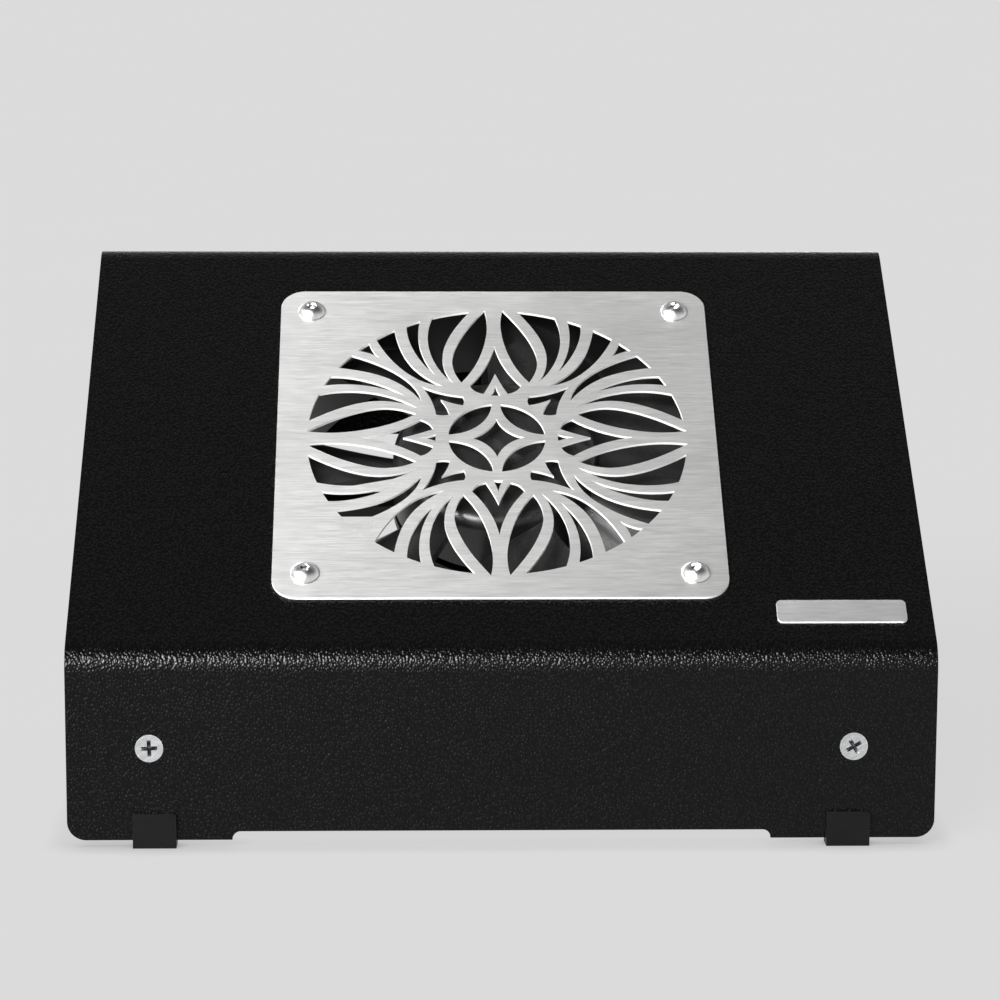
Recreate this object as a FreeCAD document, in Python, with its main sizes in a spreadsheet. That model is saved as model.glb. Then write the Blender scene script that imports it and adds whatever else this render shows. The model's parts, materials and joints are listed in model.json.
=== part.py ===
"""Tabletop fume extractor: a sloped sheet-metal hood over a 120 mm axial fan.

Frame: millimetres, +Z up, +X to the user's right, -Y towards the user.
The origin is the centre of the footprint, on the surface that the feet stand on.

The "deck frame" used by everything around the fan has its origin on the deck's
outer surface at the fan's centre: x to the right, y up the slope, z out of the deck.
"""
import FreeCAD, Part
import math
import os
import re

import Sketcher

Vector = FreeCAD.Vector
Rotation = FreeCAD.Rotation
Placement = FreeCAD.Placement

DIMENSIONS = {
    # folded sheet-metal cover
    "width": 230.0,
    "sheet": 1.5,
    "foot_drop": 2.0,
    "front_face": -73.22,
    "front_rise": 50.2,
    "deck_angle": 35.0,
    "deck_length": 175.3,
    "rear_drop": 64.2,
    "front_bend": 9.0,
    "rear_bend": 9.0,
    "lower_corner": 5.0,
    "notch_width": 142.8,
    "notch_rise": 2.3,
    "notch_round": 2.2,
    # end panels, tucked inside the cover
    "edge_recess": 0.5,
    "sheet_gap": 0.1,
    "front_flange": 30.0,
    "rear_flange": 22.0,
    "panel_bend": 2.5,
    "panel_corner": 3.5,
    # M4 countersunk screws and press nuts that hold the end panels
    "flange_screw_x": 93.1,
    "front_screw_rise": 26.9,
    "rear_screw_x": 103.0,
    "rear_screw_rise": 112.0,
    "csk_radius": 3.8,
    "csk_head": 3.7,
    "csk_depth": 1.7,
    "csk_length": 8.0,
    "cross_span": 4.4,
    "cross_arm": 1.05,
    "cross_depth": 2.0,
    "thread": 2.0,
    "thread_bore": 2.05,
    "clear_bore": 2.25,
    "flange_bore": 2.3,
    "press_nut": 4.0,
    "press_nut_depth": 3.0,
    # rubber edge-clip feet
    "foot_x": 91.9,
    "foot_width": 11.5,
    "foot_height": 9.3,
    "foot_skin": 1.2,
    "foot_round": 0.5,
    # grille plate and its M4 button-head screws
    "fan_station": 81.1,
    "plate_side": 122.8,
    "plate_round": 7.0,
    "plate": 0.8,
    "screw_pitch": 105.0,
    "button_radius": 3.9,
    "button_height": 2.7,
    "button_sphere": 4.56,
    "socket_radius": 1.44,
    "socket_depth": 1.5,
    "button_length": 35.0,
    "nut_radius": 4.04,
    "nut_height": 3.2,
    # blank label plate on the deck
    "label_x": 90.65,
    "label_station": 14.7,
    "label_width": 34.6,
    "label_height": 7.9,
    "label": 0.6,
    "label_round": 1.4,
    # fan housing
    "gasket": 1.0,
    "fan_side": 120.0,
    "fan_depth": 25.0,
    "fan_round": 5.0,
    "fan_flange": 4.0,
    "duct_inner": 58.0,
    "duct_outer": 59.6,
    "deck_opening": 57.0,
    "motor_base": 29.0,
    "motor_floor": 2.5,
    "strut": 6.0,
    "lead_groove": 4.0,
    "groove_start": 15.0,
    # rotor
    "hub_radius": 29.0,
    "hub_face": -3.5,
    "hub_skirt": -22.5,
    "hub_wall": 1.6,
    "hub_cap": 2.0,
    "hub_round": 4.0,
    "blade_count": 7,
    "blade_phase": 22.0,
    "blade_tip": 56.8,
    "blade_top": -6.5,
    "blade_bottom": -22.5,
    "blade": 1.6,
    "blade_camber": 0.11,
    "root_section": 26.0,
    "root_chord": 18.0,
    "middle_section": 42.0,
    "middle_chord": 28.0,
    "tip_section": 58.0,
    "tip_chord": 38.0,
    "yoke_radius": 27.3,
    "yoke_wall": 1.6,
    "yoke_skirt": -21.5,
    "yoke_boss": 2.1,
    "magnet_wall": 2.2,
    "magnet_top": -9.5,
    "magnet_bottom": -20.5,
    "shaft": 2.0,
    "shaft_end": -25.5,
    "clip_groove": -24.9,
    "clip": 0.5,
    "clip_depth": 0.5,
    "clip_radius": 3.6,
    "clip_sweep": 300.0,
    # stator, bearings and circuit board
    "tube_outer": 6.0,
    "tube_inner": 4.5,
    "tube_top": -10.0,
    "tube_seat": 1.5,
    "tube_floor": 0.7,
    "bush_length": 4.0,
    "upper_bush": -14.5,
    "lower_bush": -24.1,
    "bush_bore": 2.05,
    "seal_bore": 2.3,
    "seal": 0.5,
    "washer": 0.4,
    "core_radius": 22.9,
    "core_top": -12.0,
    "core_bottom": -19.0,
    "tooth": 7.0,
    "pole_neck": 19.0,
    "core_root": 9.2,
    "neck_inset": 0.4,
    "pole_flare": 35.0,
    "slot_angle": 41.5,
    "slot_mouth_angle": 42.2,
    "slot_root": 6.62,
    "coil_start": 9.7,
    "coil_end": 17.6,
    "coil_wall": 2.2,
    "coil_build": 1.8,
    "board_radius": 22.0,
    "board": 1.2,
    "chip_length": 5.0,
    "chip_width": 4.0,
    "chip_height": 1.5,
    "chip_x": -13.0,
    "sensor_length": 3.0,
    "sensor_height": 1.2,
    "sensor_y": 17.0,
    "capacitor_radius": 2.0,
    "capacitor_height": 1.8,
    "capacitor_x": -9.0,
    "capacitor_y": -13.0,
    # rocker switch on the rear flange
    "control_x": 76.0,
    "switch_rise": 120.0,
    "bezel_width": 15.0,
    "bezel_height": 21.0,
    "bezel": 1.8,
    "switch_width": 12.8,
    "switch_height": 19.0,
    "switch_depth": 13.0,
    "switch_slack": 0.2,
    "rocker_reach": 7.9,
    "rocker_width": 9.8,
    "rocker_window": 8.2,
    "rocker_gap": 0.3,
    "rocker_pivot": -0.8,
    "rocker_tilt": 10.0,
    "rocker_well": 6.5,
    "rocker_crest": 2.0,
    "rocker_slope": 13.65,
    "rocker_root": 4.2,
    "rocker_pin": 1.0,
    "rocker_pin_gap": 0.05,
    # low-voltage power inlet under the switch
    "inlet_rise": 98.5,
    "inlet_flange": 5.5,
    "inlet_rim": 1.5,
    "inlet_barrel": 3.95,
    "inlet_length": 14.0,
    "inlet_socket": 2.8,
    "inlet_socket_depth": 9.5,
    "inlet_pin": 1.05,
    "inlet_pin_root": 2.0,
    "inlet_pin_recess": 1.0,
    "inlet_slack": 0.05,
    "inlet_nut": 6.0,
    "inlet_nut_depth": 2.0,
    # terminals and leads
    "tab_width": 4.8,
    "tab": 0.8,
    "tab_length": 7.0,
    "tab_spread": 5.0,
    "small_tab_width": 2.0,
    "small_tab": 0.4,
    "small_tab_length": 4.0,
    "small_tab_spread": 1.7,
    "lead_radius": 0.7,
}

# Positions that several pieces share, written in the sheet's own names.
DECK_RUN = "cos(deck_angle)"
DECK_CLIMB = "sin(deck_angle)"
BEND_RISE = "(foot_drop + front_rise)"
REAR_FACE = "(front_face + deck_length * cos(deck_angle))"
REAR_TOP = "(foot_drop + front_rise + deck_length * sin(deck_angle))"
FRONT_BEND_CENTRE = "(foot_drop + front_rise - front_bend * tan(45 - deck_angle / 2))"
REAR_BEND_CENTRE = f"({REAR_TOP} - rear_bend * (tan(deck_angle) + 1 / cos(deck_angle)))"
FAN_TOP = "(-sheet - gasket)"
FAN_FLOOR = "(-sheet - gasket - fan_depth)"
TUBE_FLOOR = f"({FAN_FLOOR} + motor_floor - tube_seat)"
HALF_PITCH = "screw_pitch / 2"

doc = FreeCAD.newDocument("fume_extractor")
sheet = doc.addObject("Spreadsheet::Sheet", "Dims")
for row, (alias, size) in enumerate(DIMENSIONS.items(), 1):
    sheet.set(f"A{row}", alias)
    sheet.set(f"B{row}", str(size))
    sheet.setAlias(f"B{row}", alias)
doc.recompute()

SUBPARTS = {}


# ---------------------------------------------------------------- expressions

def formula(text):
    """The text as an expression, with each dimension's name pointing at its cell."""
    def cell(match):
        name = match[0]
        return f"Dims.{name}" if name in DIMENSIONS else name
    return re.sub(r"[A-Za-z_]\w*", cell, str(text))


def number(text):
    """The present value of a formula."""
    return float(sheet.evalExpression(formula(text)))


def bind(item, prop, text):
    item.setExpression(prop, formula(text))


def place(item, at=("0", "0", "0"), axis=(0, 0, 1), angle="0"):
    """Turn an object about an axis and move it, both bound to the sheet."""
    item.Placement = Placement(Vector(0, 0, 0), Rotation(Vector(*axis), number(angle)))
    for name, text in zip("xyz", at):
        bind(item, f"Placement.Base.{name}", text)
    if angle != "0":
        bind(item, "Placement.Rotation.Angle", angle)
    return item


def deck_point(x="0", up="0", out="0"):
    """Formulas for the place in the object's frame of a point of the deck frame."""
    station = f"(fan_station + {up})"
    y = f"front_face + {station} * {DECK_RUN} - ({out}) * {DECK_CLIMB}"
    z = f"{BEND_RISE} + {station} * {DECK_CLIMB} + ({out}) * {DECK_RUN}"
    return x, y, z


def on_deck(item):
    return place(item, deck_point(), (1, 0, 0), "deck_angle")


def keep(label, item):
    """Name a finished sub-part; its label is the name of its file."""
    item.Label = label
    SUBPARTS[label] = item
    return item


# ------------------------------------------------------- PartDesign features

def plain_body(name):
    return doc.addObject("PartDesign::Body", name)


def new_body(label):
    return keep(label, plain_body(label))


def new_sketch(body, plane, offset="0", on_the_deck=False):
    """A sketch on one of the body's own origin planes, or tilted onto the deck."""
    sketch = body.newObject("Sketcher::SketchObject", body.Name + "_sketch")
    support = [item for item in body.Origin.OriginFeatures if item.Role == plane + "_Plane"][0]
    sketch.AttachmentSupport = [(support, "")]
    sketch.MapMode = "FlatFace"
    if on_the_deck:
        tilt = Rotation(Vector(1, 0, 0), number("deck_angle"))
        sketch.AttachmentOffset = Placement(Vector(0, 0, 0), tilt)
        for name, text in zip("xyz", deck_point()):
            bind(sketch, f"AttachmentOffset.Base.{name}", text)
        bind(sketch, "AttachmentOffset.Rotation.Angle", "deck_angle")
    else:
        bind(sketch, "AttachmentOffset.Base.z", offset)
    return sketch


def fix(sketch, kind, shape, spot, text):
    """Fix one coordinate of a sketch point to a formula."""
    constraint = Sketcher.Constraint(kind, -1, 1, shape, spot, number(text))
    index = sketch.addConstraint(constraint)
    bind(sketch, f"Constraints[{index}]", text)


def polygon(sketch, corners):
    """A closed outline whose corners are pairs of formulas."""
    spots = [Vector(number(across), number(along), 0) for across, along in corners]
    following = spots[1:] + spots[:1]
    lines = [sketch.addGeometry(Part.LineSegment(*ends), False) for ends in zip(spots, following)]
    for line, next_line in zip(lines, lines[1:] + lines[:1]):
        sketch.addConstraint(Sketcher.Constraint("Coincident", line, 2, next_line, 1))
    for line, (across, along) in zip(lines, corners):
        fix(sketch, "DistanceX", line, 1, across)
        fix(sketch, "DistanceY", line, 1, along)


def rectangle(sketch, width, height, centre=("0", "0")):
    across, along = centre
    sides = ((-1, -1), (1, -1), (1, 1), (-1, 1))
    polygon(sketch, [(f"{across} + {i} * ({width}) / 2", f"{along} + {j} * ({height}) / 2")
                     for i, j in sides])


def circle(sketch, radius, centre=("0", "0")):
    across, along = centre
    middle = Vector(number(across), number(along), 0)
    ring = sketch.addGeometry(Part.Circle(middle, Vector(0, 0, 1), number(radius)), False)
    index = sketch.addConstraint(Sketcher.Constraint("Radius", ring, number(radius)))
    bind(sketch, f"Constraints[{index}]", radius)
    fix(sketch, "DistanceX", ring, 3, across)
    fix(sketch, "DistanceY", ring, 3, along)


def corner_circles(sketch, radius):
    """The four screw holes of the fan's pattern."""
    for i, j in ((-1, -1), (1, -1), (1, 1), (-1, 1)):
        circle(sketch, radius, (f"{i} * {HALF_PITCH}", f"{j} * {HALF_PITCH}"))


def pad(body, sketch, length, midplane=False, downward=False):
    feature = body.newObject("PartDesign::Pad", body.Name + "_pad")
    feature.Profile = sketch
    bind(feature, "Length", length)
    feature.Midplane = midplane
    feature.Reversed = downward
    doc.recompute()
    return feature


def pocket(body, sketch, depth, midplane=True, upward=False):
    """Cut a sketch into the body, and make sure that it takes metal away."""
    before = body.Shape.Volume
    feature = body.newObject("PartDesign::Pocket", body.Name + "_pocket")
    feature.Profile = sketch
    bind(feature, "Length", depth)
    feature.Midplane = midplane
    feature.Reversed = upward
    doc.recompute()
    if feature.Shape.Volume > before - 1e-3:
        raise RuntimeError(f"{feature.Name} cuts nothing")
    return feature


def round_edges(body, radius, chosen):
    """Fillet the edges of the body's tip that the test picks."""
    tip = body.Tip
    names = [f"Edge{i}" for i, edge in enumerate(tip.Shape.Edges, 1) if chosen(edge)]
    if not names:
        raise RuntimeError(f"no edge to round on {body.Name}")
    feature = body.newObject("PartDesign::Fillet", body.Name + "_fillet")
    feature.Base = (tip, names)
    bind(feature, "Radius", radius)
    doc.recompute()
    return feature


def repeat_around(body, feature, sketch, count):
    pattern = body.newObject("PartDesign::PolarPattern", body.Name + "_pattern")
    pattern.Originals = [feature]
    pattern.Axis = (sketch, ["N_Axis"])
    pattern.Angle = 360
    pattern.Occurrences = count
    body.Tip = pattern
    doc.recompute()
    return pattern


def runs_along(edge, axis):
    """Whether an edge is straight along one of the axes X, Y or Z."""
    box = edge.BoundBox
    lengths = {"X": box.XLength, "Y": box.YLength, "Z": box.ZLength}
    others = [length for name, length in lengths.items() if name != axis]
    return lengths[axis] > 1e-3 and max(others) < 1e-4


def near(edge, x=None, y=None, z=None):
    """Whether an edge's middle lies at the given coordinates."""
    middle = edge.BoundBox.Center
    wanted = ((middle.x, x), (middle.y, y), (middle.z, z))
    return all(text is None or abs(found - number(text)) < 0.05 for found, text in wanted)


def turn_outline(body, corners, sweep="360"):
    """Turn an outline of (radius, height) corners about the body's Z axis."""
    sketch = new_sketch(body, "XZ")
    polygon(sketch, corners)
    feature = body.newObject("PartDesign::Revolution", body.Name + "_turn")
    feature.Profile = sketch
    feature.ReferenceAxis = (sketch, ["V_Axis"])
    bind(feature, "Angle", sweep)
    doc.recompute()
    return body


def turned_on_deck(label, corners, sweep="360"):
    return on_deck(turn_outline(new_body(label), corners, sweep))


def ring_corners(inner, outer, low, high):
    return [(inner, low), (outer, low), (outer, high), (inner, high)]


# ----------------------------------------------------- primitives and booleans

def box(size, centre, low):
    """A block centred on (x, y), standing on the height low."""
    block = doc.addObject("Part::Box", "block")
    for prop, text in zip(("Length", "Width", "Height"), size):
        bind(block, prop, text)
    x, y = centre
    return place(block, (f"{x} - ({size[0]}) / 2", f"{y} - ({size[1]}) / 2", low))


def cylinder(radius, length, at=("0", "0", "0"), axis=(0, 0, 1), angle="0"):
    drum = doc.addObject("Part::Cylinder", "drum")
    bind(drum, "Radius", radius)
    bind(drum, "Height", length)
    return place(drum, at, axis, angle)


def cone(low_radius, high_radius, height, low):
    taper = doc.addObject("Part::Cone", "taper")
    bind(taper, "Radius1", low_radius)
    bind(taper, "Radius2", high_radius)
    bind(taper, "Height", height)
    return place(taper, ("0", "0", low))


def hexagon(radius, height, low):
    prism = doc.addObject("Part::Prism", "prism")
    prism.Polygon = 6
    bind(prism, "Circumradius", radius)
    bind(prism, "Height", height)
    return place(prism, ("0", "0", low))


def join(parts):
    union = doc.addObject("Part::MultiFuse", "union")
    union.Shapes = parts
    return union


def overlap(parts):
    shared = doc.addObject("Part::MultiCommon", "shared")
    shared.Shapes = parts
    return shared


def cut(base, tools):
    result = doc.addObject("Part::Cut", "cut")
    result.Base = base
    result.Tool = tools[0] if len(tools) == 1 else join(tools)
    return result


def group(label, solids):
    """Identical pieces that share one name, as separate solids."""
    bundle = doc.addObject("Part::Compound", label)
    bundle.Links = solids
    return keep(label, bundle)


# ------------------------------------------------------------ sheet-metal body

def top_shell():
    """Front flange, sloped deck and rear flange, folded from one sheet."""
    body = new_body("top_shell")
    profile = new_sketch(body, "YZ")
    inside_front = f"{BEND_RISE} + sheet * tan(deck_angle) - sheet / {DECK_RUN}"
    inside_rear = f"{REAR_TOP} - sheet * tan(deck_angle) - sheet / {DECK_RUN}"
    polygon(profile, [
        ("front_face", "foot_drop"),
        ("front_face", BEND_RISE),
        (REAR_FACE, REAR_TOP),
        (REAR_FACE, f"{REAR_TOP} - rear_drop"),
        (f"{REAR_FACE} - sheet", f"{REAR_TOP} - rear_drop"),
        (f"{REAR_FACE} - sheet", inside_rear),
        ("front_face + sheet", inside_front),
        ("front_face + sheet", "foot_drop"),
    ])
    pad(body, profile, "width", midplane=True)
    bends = (
        ("front_bend", "front_face", BEND_RISE),
        ("front_bend - sheet", "front_face + sheet", inside_front),
        ("rear_bend", REAR_FACE, REAR_TOP),
        ("rear_bend - sheet", f"{REAR_FACE} - sheet", inside_rear),
    )
    for radius, y, z in bends:
        round_edges(body, radius, lambda edge: runs_along(edge, "X") and near(edge, y=y, z=z))
    round_edges(body, "lower_corner", lambda edge: runs_along(edge, "Y")
                and near(edge, y="front_face + sheet / 2", z="foot_drop"))
    round_edges(body, "lower_corner", lambda edge: runs_along(edge, "Y")
                and near(edge, y=f"{REAR_FACE} - sheet / 2", z=f"{REAR_TOP} - rear_drop"))

    notch = new_sketch(body, "XZ", "-front_face")
    rectangle(notch, "notch_width", "2 * notch_rise", ("0", "foot_drop"))
    pocket(body, notch, "4 * sheet")
    round_edges(body, "notch_round", lambda edge: runs_along(edge, "Y")
                and near(edge, y="front_face + sheet / 2", z="foot_drop + notch_rise"))

    openings = new_sketch(body, "XY", on_the_deck=True)
    circle(openings, "deck_opening")
    corner_circles(openings, "clear_bore")
    pocket(body, openings, "4 * sheet")

    controls = new_sketch(body, "XZ", f"-{REAR_FACE}")
    rectangle(controls, "switch_width + switch_slack", "switch_height + switch_slack",
              ("control_x", "switch_rise"))
    circle(controls, "inlet_barrel + inlet_slack", ("control_x", "inlet_rise"))
    pocket(body, controls, "4 * sheet")

    countersunk_holes(body, "-front_face", "flange_screw_x", "front_screw_rise", False)
    countersunk_holes(body, f"-{REAR_FACE}", "rear_screw_x", "rear_screw_rise", True)


def countersunk_holes(body, offset, x, z, from_behind):
    """A pair of 90 degree countersunk holes through one flange."""
    sketch = new_sketch(body, "XZ", offset)
    for side in (-1, 1):
        circle(sketch, "flange_bore", (f"{side} * {x}", z))
    before = body.Shape.Volume
    hole = body.newObject("PartDesign::Hole", body.Name + "_hole")
    hole.Profile = sketch
    hole.ThreadType = "None"
    bind(hole, "Diameter", "2 * flange_bore")
    hole.DepthType = "Dimension"
    bind(hole, "Depth", "2 * sheet")
    hole.DrillPoint = "Flat"
    hole.HoleCutType = "Countersink"
    hole.HoleCutCustomValues = True
    bind(hole, "HoleCutDiameter", "2 * csk_radius")
    hole.HoleCutCountersinkAngle = 90
    hole.Reversed = from_behind
    doc.recompute()
    if hole.Shape.Volume > before - 1e-3:
        raise RuntimeError("a countersunk hole cuts nothing")


def side_panel(label, side):
    """An end panel with a flange turned inwards at the front and at the rear."""
    body = new_body(label)
    outer = f"{side} * (width / 2 - edge_recess)"
    inner = f"{side} * (width / 2 - edge_recess - sheet)"
    front_tip = f"{side} * (width / 2 - edge_recess - front_flange)"
    rear_tip = f"{side} * (width / 2 - edge_recess - rear_flange)"
    front = "front_face + sheet + sheet_gap"
    rear = f"{REAR_FACE} - sheet - sheet_gap"
    plan = new_sketch(body, "XY", "foot_drop")
    polygon(plan, [
        (front_tip, front), (outer, front), (outer, rear), (rear_tip, rear),
        (rear_tip, f"{rear} - sheet"), (inner, f"{rear} - sheet"),
        (inner, f"{front} + sheet"), (front_tip, f"{front} + sheet"),
    ])
    pad(body, plan, f"{REAR_TOP} - foot_drop")
    for radius, x, inset in (("panel_bend", outer, "0"), ("panel_bend - sheet", inner, "sheet")):
        for y in (f"{front} + {inset}", f"{rear} - {inset}"):
            round_edges(body, radius, lambda edge: runs_along(edge, "Z") and near(edge, x=x, y=y))

    # Everything above the line just inside the cover's deck and its two bends is cut off.
    inset = "(sheet + sheet_gap)"
    front_arc = f"(front_bend - {inset})"
    rear_arc = f"(rear_bend - {inset})"
    rear_middle = "(45 + deck_angle / 2)"
    above = f"{REAR_TOP} + 10"
    profile = new_sketch(body, "YZ")
    polygon(profile, [
        (f"{front} - 5", FRONT_BEND_CENTRE),
        (front, FRONT_BEND_CENTRE),
        (f"front_face + front_bend - {front_arc} * {DECK_CLIMB}",
         f"{FRONT_BEND_CENTRE} + {front_arc} * {DECK_RUN}"),
        (f"{REAR_FACE} - rear_bend - {rear_arc} * {DECK_CLIMB}",
         f"{REAR_BEND_CENTRE} + {rear_arc} * {DECK_RUN}"),
        (f"{REAR_FACE} - rear_bend + {rear_arc} * cos{rear_middle}",
         f"{REAR_BEND_CENTRE} + {rear_arc} * sin{rear_middle}"),
        (rear, REAR_BEND_CENTRE),
        (f"{rear} + 5", REAR_BEND_CENTRE),
        (f"{rear} + 5", above),
        (f"{front} - 5", above),
    ])
    pocket(body, profile, "2 * width")

    # The lower outer edge is cut off, so that it stays behind the cover's rounded corner.
    corner = new_sketch(body, "XZ")
    beside = f"{side} * (width / 2 - edge_recess + 1)"
    polygon(corner, [
        (f"{side} * (width / 2 - edge_recess - panel_corner)", "foot_drop"),
        (f"{side} * (width / 2 - edge_recess - panel_corner)", "foot_drop - 1"),
        (beside, "foot_drop - 1"), (beside, "foot_drop + panel_corner + 1"),
    ])
    pocket(body, corner, "4 * width")

    for offset, x, z in ((f"-({front})", "flange_screw_x", "front_screw_rise"),
                         (f"-({rear})", "rear_screw_x", "rear_screw_rise")):
        bores = new_sketch(body, "XZ", offset)
        circle(bores, "flange_bore", (f"{side} * {x}", z))
        pocket(body, bores, "4 * sheet")


def foot(label, x, y_out, y_in):
    """A rubber clip pushed up over a sheet's lower edge, from y_out to y_in."""
    body = new_body(label)
    inward = 1 if number(y_in) > number(y_out) else -1
    outer = f"{y_out} - {inward} * foot_skin"
    inner = f"{y_in} + {inward} * foot_skin"
    profile = new_sketch(body, "YZ", x)
    polygon(profile, [
        (outer, "0"), (outer, "foot_height"), (y_out, "foot_height"), (y_out, "foot_drop"),
        (y_in, "foot_drop"), (y_in, "foot_height"), (inner, "foot_height"), (inner, "0"),
    ])
    pad(body, profile, "foot_width", midplane=True)
    round_edges(body, "foot_round", lambda edge: runs_along(edge, "Y") and near(edge, z="foot_height"))
    return body


# --------------------------------------------------------- screws and nuts

def countersunk_screw(spin):
    """An M4 screw with its flat head at height 0 and its shank pointing down."""
    head = cone("thread", "csk_head", "csk_depth", "-csk_depth")
    shank = cylinder("thread", "csk_length", ("0", "0", "-csk_length"))
    arms = [box(("cross_span", "cross_arm", "cross_depth + 1"), ("0", "0"), "-cross_depth"),
            box(("cross_arm", "cross_span", "cross_depth + 1"), ("0", "0"), "-cross_depth")]
    taper = cone("cross_arm / 2", "cross_span / 2", "cross_depth", "-cross_depth")
    recess = place(overlap([join(arms), taper]), angle=str(spin))
    return cut(join([head, shank]), [recess])


def flange_fasteners():
    """The four countersunk screws and the press nuts that they turn into."""
    stack = "sheet + sheet_gap + sheet"
    seats = (
        (-1, "flange_screw_x", "front_screw_rise", "front_face", 1, 3),
        (1, "flange_screw_x", "front_screw_rise", "front_face", 1, 31),
        (-1, "rear_screw_x", "rear_screw_rise", REAR_FACE, -1, 18),
        (1, "rear_screw_x", "rear_screw_rise", REAR_FACE, -1, 52),
    )
    screws = []
    nuts = []
    for side, x, z, face, inward, spin in seats:
        seat = (f"{side} * {x}", face, z)
        screws.append(place(countersunk_screw(spin), seat, (inward, 0, 0), "90"))
        low = f"-({stack}) - press_nut_depth"
        nut = cut(cylinder("press_nut", "press_nut_depth", ("0", "0", low)),
                  [cylinder("thread_bore", "2 * csk_length", ("0", "0", "-2 * csk_length"))])
        nuts.append(place(nut, seat, (inward, 0, 0), "90"))
    group("flange_screws", screws)
    group("flange_nuts", nuts)


def corner_seats():
    return [(f"{i} * {HALF_PITCH}", f"{j} * {HALF_PITCH}") for i, j in ((-1, -1), (1, -1), (1, 1), (-1, 1))]


def button_screw(x, y, spin):
    """An M4 button-head screw through plate, deck, gasket and fan."""
    rim = cylinder("button_radius", "button_height", ("0", "0", "0"))
    dome = doc.addObject("Part::Sphere", "dome")
    bind(dome, "Radius", "button_sphere")
    place(dome, ("0", "0", "button_height - button_sphere"))
    head = overlap([rim, dome])
    shank = cylinder("thread", "button_length", ("0", "0", "-button_length"))
    socket = hexagon("socket_radius", "socket_depth + 1", "button_height - socket_depth")
    screw = cut(join([head, shank]), [socket])
    return place(screw, (x, y, "plate"), (0, 0, 1), str(spin))


def fan_fasteners():
    screws = [button_screw(x, y, spin) for (x, y), spin in zip(corner_seats(), (10, 37, 22, 51))]
    on_deck(group("grille_screws", screws))
    nuts = []
    for x, y in corner_seats():
        bore = cylinder("thread_bore", "nut_height + 2", ("0", "0", "-1"))
        nut = cut(hexagon("nut_radius", "nut_height", "0"), [bore])
        nuts.append(place(nut, (x, y, f"{FAN_FLOOR} - nut_height")))
    on_deck(group("fan_nuts", nuts))


# ------------------------------------------------------------ grille and label

def mirrored(point):
    """The point's reflection in the diagonal of its quarter."""
    return point[1], point[0]


def curve_through(points):
    """A smooth curve through points given by (across, along) in the deck frame."""
    spots = [Vector(across, along, 0) for across, along in points]
    if len(spots) == 2:
        return Part.LineSegment(*spots)
    if len(spots) == 3:
        return Part.Arc(*spots)
    spline = Part.BSplineCurve()
    spline.interpolate(spots)
    return spline


def rim_arc(start, end, radius):
    """The three points of an arc about the centre between two points near its radius."""
    turns = [math.atan2(along, across) for across, along in (start, end)]
    turns.insert(1, sum(turns) / 2)
    return [(radius * math.cos(turn), radius * math.sin(turn)) for turn in turns]


def wedge(outer_start, outer_end, inner_edge, outer_edge, radius):
    """A slot whose outer end is cut by the pattern's rim: two curves meet at its tip."""
    rim = rim_arc(outer_start, outer_end, radius)
    return [inner_edge + [rim[0]], rim, [rim[-1]] + outer_edge]


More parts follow.
